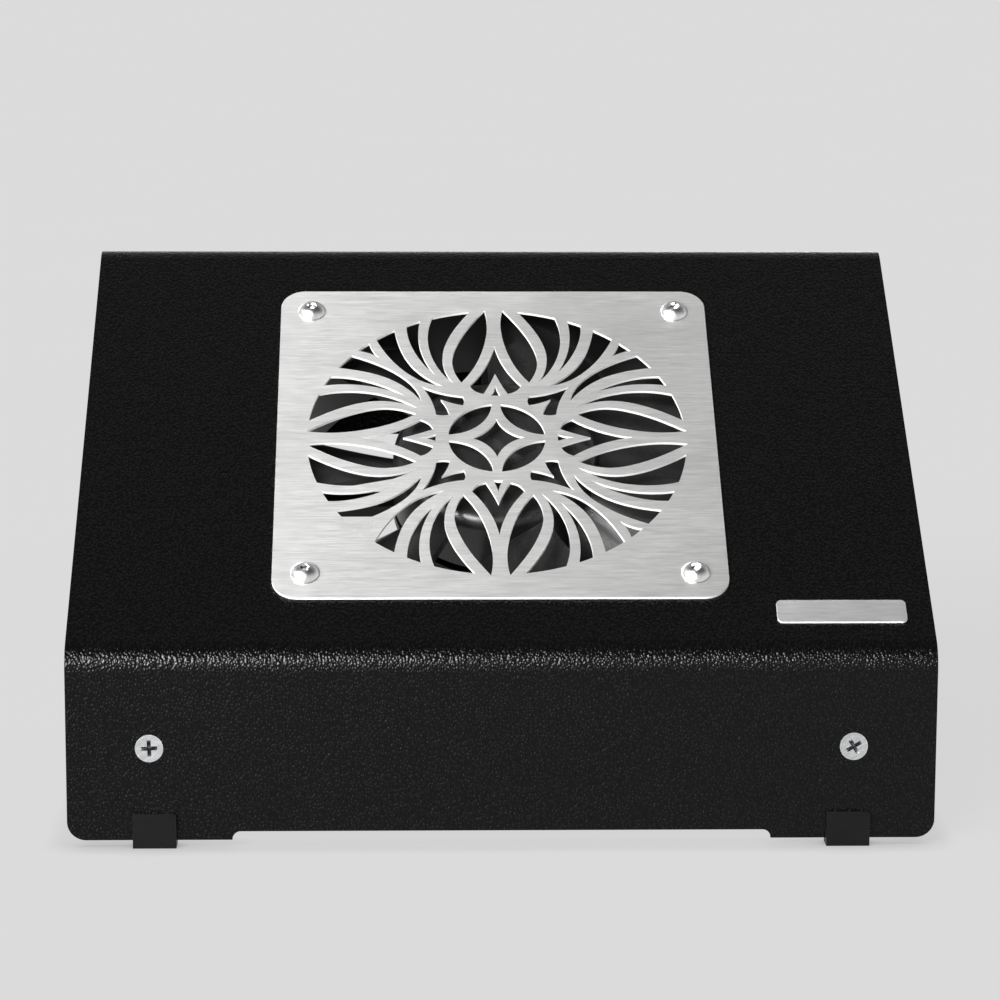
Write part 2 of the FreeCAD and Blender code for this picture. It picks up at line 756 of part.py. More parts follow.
def ornament_quarter():
    """The openings of one quarter of the grille, each a loop of curves, in millimetres.

    The pattern has four-fold symmetry with mirrors: a piece on the quarter's middle
    line is its own mirror image, and every other piece appears twice.
    """
    rim = 53.0
    petal_ring = 13.6

    # lens between the central star and the ring
    lens_start, *_, lens_end = rim_arc((13.55, 1.2), (1.2, 13.55), petal_ring)
    lens = [rim_arc((13.55, 1.2), (1.2, 13.55), petal_ring), [lens_end, (4.95, 4.95), lens_start]]

    # small triangle and chevron on the axis, open towards the centre
    triangle = [[(17.1, -1.35), (18.9, -0.6), (21.6, 0.0)], [(21.6, 0.0), (18.9, 0.6), (17.1, 1.35)],
                [(17.1, 1.35), (17.1, -1.35)]]
    chevron_half = [[(26.2, 0.0), (21.8, 1.6), (17.8, 3.4)], [(17.8, 3.4), (18.9, 5.75), (21.3, 7.3)],
                    [(21.3, 7.3), (28.6, 2.85), (38.0, 0.0)]]
    chevron = chevron_half + [[(x, -y) for x, y in reversed(edge)] for edge in reversed(chevron_half)]

    # arrow on the diagonal, its two arms pointing at the axes
    arrow_half = [[(20.9, 20.9), (18.5, 16.0), (16.9, 9.3)], [(16.9, 9.3), (15.0, 8.95), (13.1, 9.3)],
                  [(13.1, 9.3), (13.95, 12.3), (15.5, 15.5)]]
    arrow = arrow_half + [[mirrored(point) for point in reversed(edge)] for edge in reversed(arrow_half)]

    # small triangle on the diagonal, closed by the rim
    tip_start, tip_middle, tip_end = rim_arc((39.0, 35.8), (35.8, 39.0), rim)
    spur = [[(32.9, 32.9), (35.7, 34.7), tip_start], [tip_start, tip_middle, tip_end],
            [tip_end, (34.7, 35.7), (32.9, 32.9)]]

    # long petal beside the axis
    petal = [[(22.5, 9.6), (26.6, 11.45), (31.0, 12.15), (38.0, 10.8), (46.0, 7.2), (53.3, 2.6)],
             [(53.3, 2.6), (46.0, 1.95), (38.0, 2.95), (30.0, 5.4), (22.5, 9.6)]]

    # three slots that fan out to the rim between the petal and the diagonal
    broad = wedge((52.3, 6.8), (50.0, 17.8),
                  [(22.2, 11.9), (26.5, 13.9), (32.5, 14.9), (40.0, 13.5), (47.0, 10.3)],
                  [(42.5, 19.05), (35.0, 18.4), (28.5, 16.2), (22.2, 11.9)], rim)
    narrow = wedge((48.5, 21.2), (46.7, 25.1),
                   [(25.9, 17.2), (30.0, 19.2), (36.0, 21.1), (42.0, 21.8)],
                   [(42.0, 24.8), (35.5, 22.95), (30.0, 20.2), (25.9, 17.2)], rim)
    wide = wedge((44.6, 28.6), (40.7, 33.9),
                 [(21.0, 14.8), (25.0, 20.0), (30.0, 24.0), (37.0, 27.0)],
                 [(34.5, 31.0), (28.5, 26.9), (24.0, 22.2), (21.0, 14.8)], rim)
    twins = [petal, broad, narrow, wide]
    twins += [[[mirrored(point) for point in edge] for edge in loop] for loop in twins]
    return [lens, triangle, chevron, arrow, spur] + twins


def grille_plate():
    """Brushed steel plate with laser-cut openings over the fan."""
    body = new_body("grille_plate")
    outline = new_sketch(body, "XY")
    rectangle(outline, "plate_side", "plate_side")
    pad(body, outline, "plate")
    round_edges(body, "plate_round", lambda edge: runs_along(edge, "Z"))
    holes = new_sketch(body, "XY")
    corner_circles(holes, "clear_bore")
    pocket(body, holes, "4 * plate")

    star = new_sketch(body, "XY")
    point = 7.7
    pinch = 0.37
    tips = [(point, 0.0), (0.0, point), (-point, 0.0), (0.0, -point)]
    for (x1, y1), (x2, y2) in zip(tips, tips[1:] + tips[:1]):
        waist = ((x1 + x2) * pinch, (y1 + y2) * pinch)
        star.addGeometry(curve_through([(x1, y1), waist, (x2, y2)]), False)
    pocket(body, star, "4 * plate")

    quarter = new_sketch(body, "XY")
    for loop in ornament_quarter():
        for edge in loop:
            quarter.addGeometry(curve_through(edge), False)
    cutting = pocket(body, quarter, "4 * plate")
    repeat_around(body, cutting, quarter, 4)
    on_deck(body)


def label_plate():
    """Blank label plate near the deck's front right corner."""
    body = new_body("label_plate")
    outline = new_sketch(body, "XY")
    rectangle(outline, "label_width", "label_height", ("label_x", "label_station - fan_station"))
    pad(body, outline, "label")
    round_edges(body, "label_round", lambda edge: runs_along(edge, "Z"))
    on_deck(body)


# --------------------------------------------------------------- fan, standing

def fan_gasket():
    """Foam seal between the deck and the fan."""
    body = new_body("fan_gasket")
    outline = new_sketch(body, "XY", FAN_TOP)
    rectangle(outline, "fan_side", "fan_side")
    pad(body, outline, "gasket")
    round_edges(body, "fan_round", lambda edge: runs_along(edge, "Z"))
    openings = new_sketch(body, "XY", FAN_TOP)
    circle(openings, "duct_inner")
    corner_circles(openings, "clear_bore")
    pocket(body, openings, "4 * gasket")
    on_deck(body)


def fan_housing():
    """Square flanges joined by a round duct, with the motor's base on four struts."""
    body = new_body("fan_housing")
    outline = new_sketch(body, "XY", FAN_FLOOR)
    rectangle(outline, "fan_side", "fan_side")
    pad(body, outline, "fan_depth")
    round_edges(body, "fan_round", lambda edge: runs_along(edge, "Z"))

    waist = new_sketch(body, "XY", f"{FAN_FLOOR} + fan_depth / 2")
    rectangle(waist, "fan_side + 8", "fan_side + 8")
    circle(waist, "duct_outer")
    pocket(body, waist, "fan_depth - 2 * fan_flange")

    bores = new_sketch(body, "XY", f"{FAN_FLOOR} + fan_depth / 2")
    circle(bores, "duct_inner")
    corner_circles(bores, "clear_bore")
    pocket(body, bores, "2 * fan_depth")

    for width, height in (("2 * duct_inner + 1", "strut"), ("strut", "2 * duct_inner + 1")):
        struts = new_sketch(body, "XY", FAN_FLOOR)
        rectangle(struts, width, height)
        pad(body, struts, "fan_flange")
    base = new_sketch(body, "XY", FAN_FLOOR)
    circle(base, "motor_base")
    pad(body, base, "motor_floor")
    well = new_sketch(body, "XY", f"{FAN_FLOOR} + motor_floor")
    circle(well, "motor_base - 3")
    pocket(body, well, "fan_flange", midplane=False, upward=True)

    groove = new_sketch(body, "XY", FAN_FLOOR)
    reach = "fan_side / 2 + 5"
    rectangle(groove, f"{reach} - groove_start", "lead_groove", (f"({reach} + groove_start) / 2", "0"))
    pocket(body, groove, "motor_floor", midplane=False, upward=True)

    seat = new_sketch(body, "XY", TUBE_FLOOR)
    circle(seat, "tube_outer")
    pocket(body, seat, "tube_seat", midplane=False, upward=True)
    on_deck(body)


def bearing_stack():
    """Brass tube pressed into the motor's base, with its two bushes, seal and washer."""
    turned_on_deck("bearing_tube", [
        ("0", TUBE_FLOOR), ("tube_outer", TUBE_FLOOR), ("tube_outer", "tube_top"),
        ("tube_inner", "tube_top"), ("tube_inner", f"{TUBE_FLOOR} + tube_floor"),
        ("0", f"{TUBE_FLOOR} + tube_floor"),
    ])
    for label, low in (("upper_bearing", "upper_bush"), ("lower_bearing", "lower_bush")):
        turned_on_deck(label, ring_corners("bush_bore", "tube_inner", low, f"{low} + bush_length"))
    seal_low = "(upper_bush + bush_length)"
    turned_on_deck("oil_seal", ring_corners("seal_bore", "tube_inner", seal_low, f"{seal_low} + seal"))
    washer = ring_corners("bush_bore", "tube_inner", "lower_bush - washer", "lower_bush")
    turned_on_deck("thrust_washer", washer)


def stator():
    """Laminated four-pole core on the tube, and a winding around each pole."""
    core = new_body("stator_core")
    disc = new_sketch(core, "XY", "core_bottom")
    circle(disc, "core_radius")
    circle(disc, "tube_outer")
    pad(core, disc, "core_top - core_bottom")
    slot = new_sketch(core, "XY", "core_bottom")
    mouth = "(core_radius + 1)"
    half = [
        ("core_root", "tooth / 2"),
        ("pole_neck - neck_inset", "tooth / 2"),
        ("pole_neck * cos(pole_flare)", "pole_neck * sin(pole_flare)"),
        ("pole_neck * cos(slot_angle)", "pole_neck * sin(slot_angle)"),
        (f"{mouth} * cos(slot_mouth_angle)", f"{mouth} * sin(slot_mouth_angle)"),
    ]
    inner = [("slot_root", "slot_root")]
    polygon(slot, half + [mirrored(corner) for corner in reversed(half)] + inner)
    cutting = pocket(core, slot, "fan_depth", midplane=False, upward=True)
    repeat_around(core, cutting, slot, 4)
    on_deck(core)

    coils = []
    middle = "(core_top + core_bottom) / 2"
    stack = "(core_top - core_bottom)"
    for pole in range(4):
        length = "coil_end - coil_start"
        centre = ("(coil_start + coil_end) / 2", "0")
        tall = f"{stack} + 2 * coil_build"
        winding = box((length, "tooth + 2 * coil_wall", tall), centre, f"{middle} - ({tall}) / 2")
        neck = box((f"{length} + 2", "tooth", stack), centre, "core_bottom")
        coils.append(place(cut(winding, [neck]), angle=str(90 * pole)))
    on_deck(group("stator_coils", coils))


def motor_circuit_board():
    """Round driver board on the motor's base, with its chip, sensor and capacitor."""
    low = f"({FAN_FLOOR} + motor_floor)"
    top = f"({low} + board)"
    disc = cut(cylinder("board_radius", "board", ("0", "0", low)),
               [cylinder("tube_outer", "3 * board", ("0", "0", f"{low} - board"))])
    chip = box(("chip_length", "chip_width", "chip_height"), ("chip_x", "chip_width"), top)
    sensor = box(("sensor_length", "chip_width", "sensor_height"), ("0", "sensor_y"), top)
    capacitor = cylinder("capacitor_radius", "capacitor_height", ("capacitor_x", "capacitor_y", top))
    on_deck(keep("motor_circuit_board", join([disc, chip, sensor, capacitor])))


# ------------------------------------------------------------- fan, turning

def blade_section(distance, chord):
    """A cambered blade section in the plane at a distance from the axis."""
    top = number("blade_top")
    bottom = number("blade_bottom")
    half = number("blade") / 2
    nose = Vector(distance, chord / 2, top)
    tail = Vector(distance, -chord / 2, bottom)
    along = (nose - tail).normalize()
    normal = Vector(0, -along.z, along.y)
    camber = number("blade_camber") * (nose - tail).Length
    middle = (nose + tail) / 2 + normal * camber
    upper = [point + normal * half for point in (nose, middle, tail)]
    lower = [point - normal * half for point in (tail, middle, nose)]
    edges = [Part.Arc(*upper).toShape(), Part.LineSegment(upper[2], lower[0]).toShape(),
             Part.Arc(*lower).toShape(), Part.LineSegment(lower[2], upper[0]).toShape()]
    return Part.Wire(edges)


def fan_blades():
    """All the blades, each lofted outwards and trimmed by the hub and the tip circle."""
    sections = [blade_section(number(f"{spot}_section"), number(f"{spot}_chord"))
                for spot in ("root", "middle", "tip")]
    blade = Part.makeLoft(sections, True, False)
    depth = number("fan_depth") * 2
    foot = Vector(0, 0, -depth)
    trim = Part.makeCylinder(number("blade_tip"), depth, foot)
    trim = trim.cut(Part.makeCylinder(number("hub_radius") - number("hub_wall") / 2, depth, foot))
    blade = blade.common(trim)
    count = int(number("blade_count"))
    blades = []
    for step in range(count):
        copy = blade.copy()
        copy.rotate(Vector(0, 0, 0), Vector(0, 0, 1), number("blade_phase") + step * 360 / count)
        blades.append(copy)
    feature = doc.addObject("Part::Feature", "blades")
    feature.Shape = Part.makeCompound(blades)
    return feature


def fan_impeller():
    """Moulded hub cup with its blades."""
    inner = "(hub_radius - hub_wall)"
    hub = turn_outline(plain_body("hub"), [
        ("0", "hub_face - hub_cap"), (inner, "hub_face - hub_cap"), (inner, "hub_skirt"),
        ("hub_radius", "hub_skirt"), ("hub_radius", "hub_face"), ("0", "hub_face"),
    ])
    round_edges(hub, "hub_round", lambda edge: near(edge, x="0", y="0", z="hub_face")
                and edge.BoundBox.XLength > 2)
    on_deck(keep("fan_impeller", join([hub, fan_blades()])))


def rotor():
    """Steel yoke, ring magnet and shaft inside the hub, held by a clip."""
    yoke_top = "(hub_face - hub_cap)"
    disc = f"({yoke_top} - yoke_wall)"
    boss = f"({disc} - yoke_boss)"
    inner = "(yoke_radius - yoke_wall)"
    turned_on_deck("rotor_yoke", [
        ("shaft", yoke_top), ("yoke_radius", yoke_top), ("yoke_radius", "yoke_skirt"),
        (inner, "yoke_skirt"), (inner, disc), ("2.5 * shaft", disc), ("2.5 * shaft", boss),
        ("shaft", boss),
    ])
    turned_on_deck("rotor_magnet", ring_corners(f"{inner} - magnet_wall", inner, "magnet_bottom", "magnet_top"))
    low = "(clip_groove - clip / 2)"
    high = "(clip_groove + clip / 2)"
    neck = "(shaft - clip_depth)"
    turned_on_deck("fan_shaft", [
        ("0", "shaft_end"), ("shaft", "shaft_end"), ("shaft", low), (neck, low), (neck, high),
        ("shaft", high), ("shaft", yoke_top), ("0", yoke_top),
    ])
    turned_on_deck("retaining_clip", ring_corners(neck, "clip_radius", low, high), "clip_sweep")


# --------------------------------------------------- switch, inlet and leads

def rear_block(size, z, low):
    """A block of width, depth and height behind the controls, its rear at low + depth."""
    width, depth, height = size
    return box((width, depth, height), ("control_x", f"{low} + ({depth}) / 2"), f"{z} - ({height}) / 2")


def rocker_switch():
    """Snap-in rocker switch: bezel and body, rocker, and two tabs."""
    window_width = "rocker_width + 2 * rocker_gap"
    bezel = rear_block(("bezel_width", "bezel", "bezel_height"), "switch_rise", REAR_FACE)
    body = rear_block(("switch_width", "switch_depth + 0.5", "switch_height"), "switch_rise",
                      f"({REAR_FACE} - switch_depth)")
    window = rear_block((window_width, "rocker_well + 2 * bezel", "2 * rocker_window"), "switch_rise",
                        f"({REAR_FACE} - rocker_well)")
    pivot = f"{REAR_FACE} + rocker_pivot"
    bore = cylinder("rocker_pin + rocker_pin_gap", "2 * switch_width",
                    ("control_x - switch_width", pivot, "switch_rise"), (0, 1, 0), "90")
    keep("rocker_switch_body", cut(join([bezel, body]), [window, bore]))

    paddle = plain_body("paddle")
    profile = new_sketch(paddle, "YZ")
    end = "(rocker_reach + 0.5)"
    lip = f"rocker_crest + {end} * tan(rocker_slope)"
    polygon(profile, [
        ("-1", f"-{end}"), (lip, f"-{end}"), ("rocker_crest", "0"), (lip, end), ("-1", end),
    ])
    pad(paddle, profile, "rocker_width", midplane=True)
    half = "-rocker_width / 2"
    swing = cylinder("rocker_reach", "rocker_width", (half, "0", "0"), (0, 1, 0), "90")
    root = cylinder("rocker_root", "rocker_width", (half, "0", "0"), (0, 1, 0), "90")
    pin = cylinder("rocker_pin", "rocker_width + 2", (f"{half} - 1", "0", "0"), (0, 1, 0), "90")
    lever = keep("rocker_switch_lever", join([overlap([paddle, swing]), root, pin]))
    place(lever, ("control_x", pivot, "switch_rise"), (-1, 0, 0), "rocker_tilt")

    tabs = [rear_block(("tab_width", "tab_length", "tab"), f"(switch_rise + {side} * tab_spread)",
                       f"({REAR_FACE} - switch_depth - tab_length)") for side in (-1, 1)]
    group("switch_terminals", tabs)


def behind_rear(item):
    """Stand a piece built along +Z on the rear face at the inlet, pointing backwards."""
    return place(item, ("control_x", REAR_FACE, "inlet_rise"), (-1, 0, 0), "90")


def power_inlet():
    """Round low-voltage socket with its centre pin, fixing nut and two tabs."""
    rim = cylinder("inlet_flange", "inlet_rim")
    barrel = cylinder("inlet_barrel", "inlet_length", ("0", "0", "-inlet_length"))
    floor = "(inlet_rim - inlet_socket_depth)"
    socket = cylinder("inlet_socket", "inlet_socket_depth + 1", ("0", "0", floor))
    root = f"{floor} - inlet_pin_root"
    seat = cylinder("inlet_pin", "inlet_pin_root + 1", ("0", "0", root))
    behind_rear(keep("power_inlet", cut(join([rim, barrel]), [socket, seat])))
    pin_length = "inlet_pin_root + inlet_socket_depth - inlet_pin_recess"
    pin = cylinder("inlet_pin", pin_length, ("0", "0", root))
    behind_rear(group("inlet_pin", [pin]))
    nut = cut(hexagon("inlet_nut", "inlet_nut_depth", "-sheet - inlet_nut_depth"),
              [cylinder("inlet_barrel", "inlet_length", ("0", "0", "-inlet_length"))])
    behind_rear(keep("inlet_nut", nut))
    low = "-inlet_length - small_tab_length"
    tabs = [box(("small_tab", "small_tab_width", "small_tab_length"), (f"{side} * small_tab_spread", "0"), low)
            for side in (-1, 1)]
    behind_rear(group("inlet_terminals", tabs))


def smooth_path(points):
    """Straight runs joined by tangent arcs as large as the runs allow."""
    edges = []
    start = points[0]
    for before, corner, after in zip(points, points[1:], points[2:]):
        back = (before - corner).normalize()
        ahead = (after - corner).normalize()
        half_turn = (math.pi - back.getAngle(ahead)) / 2
        reach = 0.45 * min((before - corner).Length, (after - corner).Length)
        radius = reach / math.tan(half_turn)
        print(f"    turn of {math.degrees(2 * half_turn):.0f} degrees, radius {radius:.1f} mm")
        enter = corner + back * reach
        leave = corner + ahead * reach
        bisector = (back + ahead).normalize()
        depth = radius / math.cos(half_turn) - radius
        edges.append(Part.LineSegment(start, enter).toShape())
        edges.append(Part.Arc(enter, corner + bisector * depth, leave).toShape())
        start = leave
    edges.append(Part.LineSegment(start, points[-1]).toShape())
    return Part.Wire(edges)


def lead(label, points):
    """An insulated lead along a route of hand-placed points."""
    print(label)
    path = smooth_path(points)
    radius = number("lead_radius")
    profile = Part.Wire([Part.Circle(points[0], points[1] - points[0], radius).toShape()])
    tube = path.makePipeShell([profile], True, True)
    expected = math.pi * radius ** 2 * path.Length
    if abs(tube.Volume / expected - 1) > 0.02:
        raise RuntimeError(f"{label} has the wrong volume")
    feature = doc.addObject("Part::Feature", label)
    feature.Shape = tube
    keep(label, feature)


def leads():
    """Inlet to switch, switch to motor, and inlet to motor."""
    x = number("control_x")
    rear = number(REAR_FACE)
    inlet_y = rear - number("inlet_length") - number("small_tab_length")
    inlet_z = number("inlet_rise")
    spread = number("small_tab_spread")
    tab_y = rear - number("switch_depth") - number("tab_length")
    low_tab = number("switch_rise") - number("tab_spread")
    high_tab = number("switch_rise") + number("tab_spread")
    lead("lead_inlet_to_switch", [
        Vector(x + spread, inlet_y, inlet_z), Vector(x + spread, inlet_y - 12, inlet_z),
        Vector(x, inlet_y - 12, low_tab), Vector(x, tab_y, low_tab),
    ])
    lead_radius = number("lead_radius")
    lanes = []
    for side in (-1, 1):
        up = f"{side} * (lead_radius + 0.2)"
        out = f"{FAN_FLOOR} + motor_floor - lead_radius"
        lanes.append([number(text) for text in deck_point("0", up, out)[1:]])
    (low_y, low_z), (high_y, high_z) = lanes
    groove_end = number("groove_start") + lead_radius
    lead("lead_switch_to_fan", [
        Vector(x, tab_y, high_tab), Vector(x, tab_y - 5, high_tab),
        Vector(x + 6, tab_y - 13, high_tab - 13), Vector(x + 12, tab_y - 24, high_tab - 33),
        Vector(x + 4, low_y, low_z), Vector(groove_end, low_y, low_z),
    ])
    lead("lead_inlet_to_fan", [
        Vector(x - spread, inlet_y, inlet_z), Vector(x - spread, inlet_y - 12, inlet_z),
        Vector(x - 2, inlet_y - 24, inlet_z - 12),
        Vector(x - 2, high_y, high_z), Vector(groove_end, high_y, high_z),
    ])


# ----------------------------------------------------------------- assembly

def build():
    top_shell()
    side_panel("left_side_panel", -1)
    side_panel("right_side_panel", 1)
    flange_fasteners()
    front_inside = "(front_face + 2 * sheet + sheet_gap)"
    rear_outside = f"({REAR_FACE} - sheet - sheet_gap)"
    for side, name in ((-1, "left"), (1, "right")):
        foot(f"front_{name}_foot", f"{side} * foot_x", "front_face", front_inside)
        foot(f"rear_{name}_foot", f"{side} * rear_screw_x", rear_outside, f"({rear_outside} - sheet)")
    grille_plate()
    label_plate()
    fan_gasket()
    fan_housing()
    fan_fasteners()
    bearing_stack()
    stator()
    motor_circuit_board()
    fan_impeller()
    rotor()
    rocker_switch()
    power_inlet()
    leads()
    doc.recompute()


def check():
    """Stop if anything in the document failed, or a sub-part isn't sound."""
    for item in doc.Objects:
        if {"Invalid", "Error"} & set(item.State):
            raise RuntimeError(f"{item.Name} failed: {item.State}")
    for label, item in SUBPARTS.items():
        if item.Shape.isNull() or not item.Shape.isValid() or not item.Shape.Solids:
            raise RuntimeError(f"{label} has no sound shape")


def export():
    os.makedirs("parts", exist_ok=True)
    for label, item in SUBPARTS.items():
        item.Shape.exportStep(os.path.join("parts", label + ".step"))
        print(f"{label}: {len(item.Shape.Solids)} solids, {item.Shape.Volume / 1000:.3f} cm3")


build()
check()
export()
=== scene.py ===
import json
import math

import bpy
from mathutils import Matrix, Vector

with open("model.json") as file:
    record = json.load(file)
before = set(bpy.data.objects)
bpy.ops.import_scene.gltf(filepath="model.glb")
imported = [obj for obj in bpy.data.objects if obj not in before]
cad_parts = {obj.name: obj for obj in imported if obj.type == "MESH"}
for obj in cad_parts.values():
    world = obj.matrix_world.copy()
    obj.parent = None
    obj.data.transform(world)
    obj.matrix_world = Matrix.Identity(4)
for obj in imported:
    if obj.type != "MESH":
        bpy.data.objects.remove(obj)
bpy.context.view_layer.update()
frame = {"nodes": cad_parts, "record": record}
nodes = frame["nodes"]

DECK_TILT = math.radians(35)
FLOOR_LEVEL = 0.702      # how bright the floor and the walls look
FLOOR_GLOW = 0.655       # the part of that level that the floor gives off by itself


# ------------------------------------------------------------ node building

class Nodes:
    """A material under construction: each method adds a shader node and returns its output."""

    def __init__(self, name):
        self.material = bpy.data.materials.new(name)
        self.material.use_nodes = True
        self.tree = self.material.node_tree
        self.tree.nodes.clear()
        self.output = self.tree.nodes.new("ShaderNodeOutputMaterial")

    def add(self, kind, inputs=None, **settings):
        node = self.tree.nodes.new(kind)
        for key, value in settings.items():
            setattr(node, key, value)
        for key, value in (inputs or {}).items():
            if isinstance(value, bpy.types.NodeSocket):
                self.tree.links.new(value, node.inputs[key])
            else:
                node.inputs[key].default_value = value
        return node

    def place(self, scale=(1, 1, 1), turn=(0, 0, 0)):
        """Coordinates in metres on the piece, turned and then stretched."""
        where = self.add("ShaderNodeTexCoord").outputs["Object"]
        turned = self.add("ShaderNodeMapping", {"Vector": where, "Rotation": turn}).outputs[0]
        return self.add("ShaderNodeMapping", {"Vector": turned, "Scale": scale}).outputs[0]

    def noise(self, where, scale, detail, rough=0.5):
        return self.add("ShaderNodeTexNoise", {
            "Vector": where, "Scale": scale, "Detail": detail, "Roughness": rough,
        }).outputs["Fac"]

    def cells(self, where, scale, smooth):
        """Distance from the middle of rounded cells."""
        node = self.add("ShaderNodeTexVoronoi", feature="SMOOTH_F1")
        self.tree.links.new(where, node.inputs["Vector"])
        node.inputs["Scale"].default_value = scale
        node.inputs["Smoothness"].default_value = smooth
        return node.outputs["Distance"]

    def ramp(self, value, low, high, start=0.0, end=1.0):
        """value moved from start..end to low..high, and kept between them."""
        return self.add("ShaderNodeMapRange", {
            "Value": value, "From Min": start, "From Max": end, "To Min": low, "To Max": high,
        }).outputs["Result"]

    def math(self, operation, a, b=0.0):
        return self.add("ShaderNodeMath", {0: a, 1: b}, operation=operation).outputs[0]

    def mix(self, factor, a, b):
        """Colour a where factor is 0 and b where it is 1."""
        node = self.add("ShaderNodeMix", data_type="RGBA")
        for socket, value in ((node.inputs[0], factor), (node.inputs[6], a), (node.inputs[7], b)):
            if isinstance(value, bpy.types.NodeSocket):
                self.tree.links.new(value, socket)
            else:
                socket.default_value = value if isinstance(value, float) else (*value, 1.0)
        return node.outputs[2]

    def split(self, where):
        node = self.add("ShaderNodeSeparateXYZ", {0: where})
        return node.outputs[0], node.outputs[1], node.outputs[2]

    def edge_wear(self, radius, low, high):
        """1 on convex edges sharper than radius, 0 on flat faces."""
        soft = self.add("ShaderNodeBevel", {"Radius": radius}, samples=6).outputs[0]
        hard = self.add("ShaderNodeNewGeometry").outputs["Normal"]
        same = self.add("ShaderNodeVectorMath", {0: soft, 1: hard}, operation="DOT_PRODUCT").outputs["Value"]
        return self.ramp(same, 1.0, 0.0, low, high)

    def corners(self, reach, low, high):
        """0 deep in recesses and corners narrower than reach, 1 in the open."""
        open_sky = self.add("ShaderNodeAmbientOcclusion", {"Distance": reach}, samples=8).outputs["AO"]
        return self.ramp(open_sky, 0.0, 1.0, low, high)

    def bump(self, height, strength, distance):
        return self.add("ShaderNodeBump", {
            "Height": height, "Strength": strength, "Distance": distance,
        }).outputs[0]

    def surface(self, **sockets):
        """The principled shader that ends the material, with sockets named as on the node."""
        shader = self.add("ShaderNodeBsdfPrincipled", {
            key.replace("_", " "): (*value, 1.0) if isinstance(value, tuple) and len(value) == 3 else value
            for key, value in sockets.items()
        })
        self.tree.links.new(shader.outputs[0], self.output.inputs[0])
        return self.material


# ---------------------------------------------------------------- materials

def powder_coat(name):
    """Black wrinkle powder coat: small glossy pebbles, a little taller than wide, with painted shade
    darkening the creases and painted light on the pebble tops.
    """
    n = Nodes(name)
    where = n.place((1.35, 1, 1))
    creases = n.cells(where, 1250, smooth=0.8)
    swell = n.noise(n.place(), 160, 2)
    height = n.math("SUBTRACT", n.math("MULTIPLY", swell, 0.5), creases)
    # painted shade and light: creases get a darker colour and pebble tops a lighter one, standing in for the
    # shading of the bumps
    painted_pebble_shading = n.ramp(creases, 1.0, 0.0, 0.12, 0.5)
    colour = n.mix(painted_pebble_shading, (0.0012, 0.0012, 0.0012), (0.0034, 0.0034, 0.0035))
    rough = n.ramp(n.noise(where, 90, 3), 0.14, 0.20, 0.3, 0.7)
    return n.surface(Base_Color=colour, Roughness=rough, Specular_IOR_Level=0.14,
                     Normal=n.bump(height, 1.0, 0.0002))


def brushed(name, colour, turn, low_rough, high_rough, grain=1.0, cut_tint_and_painted_highlight=(0.93, 0.93, 0.92)):
    """Sheet metal brushed along X, with rougher edges and opening walls of another colour; with the
    near-white default that colour is a painted highlight along those edges.
    """
    n = Nodes(name)
    fine = n.noise(n.place((150, 2600, 2600), turn), 1.0, 2, 0.6)
    coarse = n.noise(n.place((60, 900, 900), turn), 1.0, 2, 0.6)
    blotch = n.noise(n.place((14, 40, 40), turn), 1.0, 3, 0.5)
    streak = n.math("ADD", n.math("MULTIPLY", fine, 0.7), n.math("MULTIPLY", coarse, 0.3))
    dark = tuple(part * 0.88 for part in colour)
    light = tuple(min(1.0, part * 1.08) for part in colour)
    shade = n.mix(n.ramp(streak, 0.0, 1.0, 0.34, 0.66), dark, light)
    rough = n.ramp(n.math("ADD", streak, n.math("MULTIPLY", blotch, 0.5)), low_rough, high_rough, 0.4, 1.1)

    face = (0, math.sin(turn[0]), math.cos(turn[0]))
    facing = n.add("ShaderNodeVectorMath", {0: n.add("ShaderNodeTexCoord").outputs["Normal"], 1: face},
                   operation="DOT_PRODUCT").outputs["Value"]
    edge = n.ramp(n.math("ABSOLUTE", facing), 1.0, 0.0, 0.80, 0.92)
    # painted highlight: with the near-white default, the edge faces and opening walls show as bright lines
    # whatever light reaches them
    shade = n.mix(edge, shade, cut_tint_and_painted_highlight)
    across = n.add("ShaderNodeCombineXYZ", {1: math.cos(turn[0]), 2: -math.sin(turn[0])}).outputs[0]
    return n.surface(Base_Color=shade, Metallic=n.ramp(edge, 1.0, 0.25), Anisotropic=0.85, Tangent=across,
                     Roughness=n.math("ADD", rough, n.math("MULTIPLY", edge, 0.2)),
                     Normal=n.bump(streak, 0.10 * grain, 0.00006))


def turned_metal(name, colour, low_rough, high_rough, recess=(0.0012, 0.35, 0.75), painted_recess_shade=0.05):
    """Plated or polished hardware with faint scratches, and painted shade darkening its recesses and
    corners.
    """
    n = Nodes(name)
    where = n.place()
    scratch = n.noise(n.place((220, 2600, 900), (0.3, 0.5, 0.2)), 1.0, 4, 0.6)
    cloud = n.noise(where, 900, 3)
    shade = n.mix(n.ramp(cloud, 0.0, 1.0, 0.3, 0.7), tuple(part * 0.86 for part in colour), colour)
    shade = n.mix(n.math("MULTIPLY", n.edge_wear(0.0002, 0.8, 0.97), 0.6), shade, (0.95, 0.95, 0.94))
    # painted shade: deep in recesses and corners the colour darkens to a near-black grey
    shade = n.mix(n.corners(*recess), (painted_recess_shade, painted_recess_shade, painted_recess_shade), shade)
    rough = n.ramp(scratch, low_rough, high_rough, 0.3, 0.7)
    return n.surface(Base_Color=shade, Metallic=1.0, Roughness=rough, Normal=n.bump(scratch, 0.08, 0.00004))


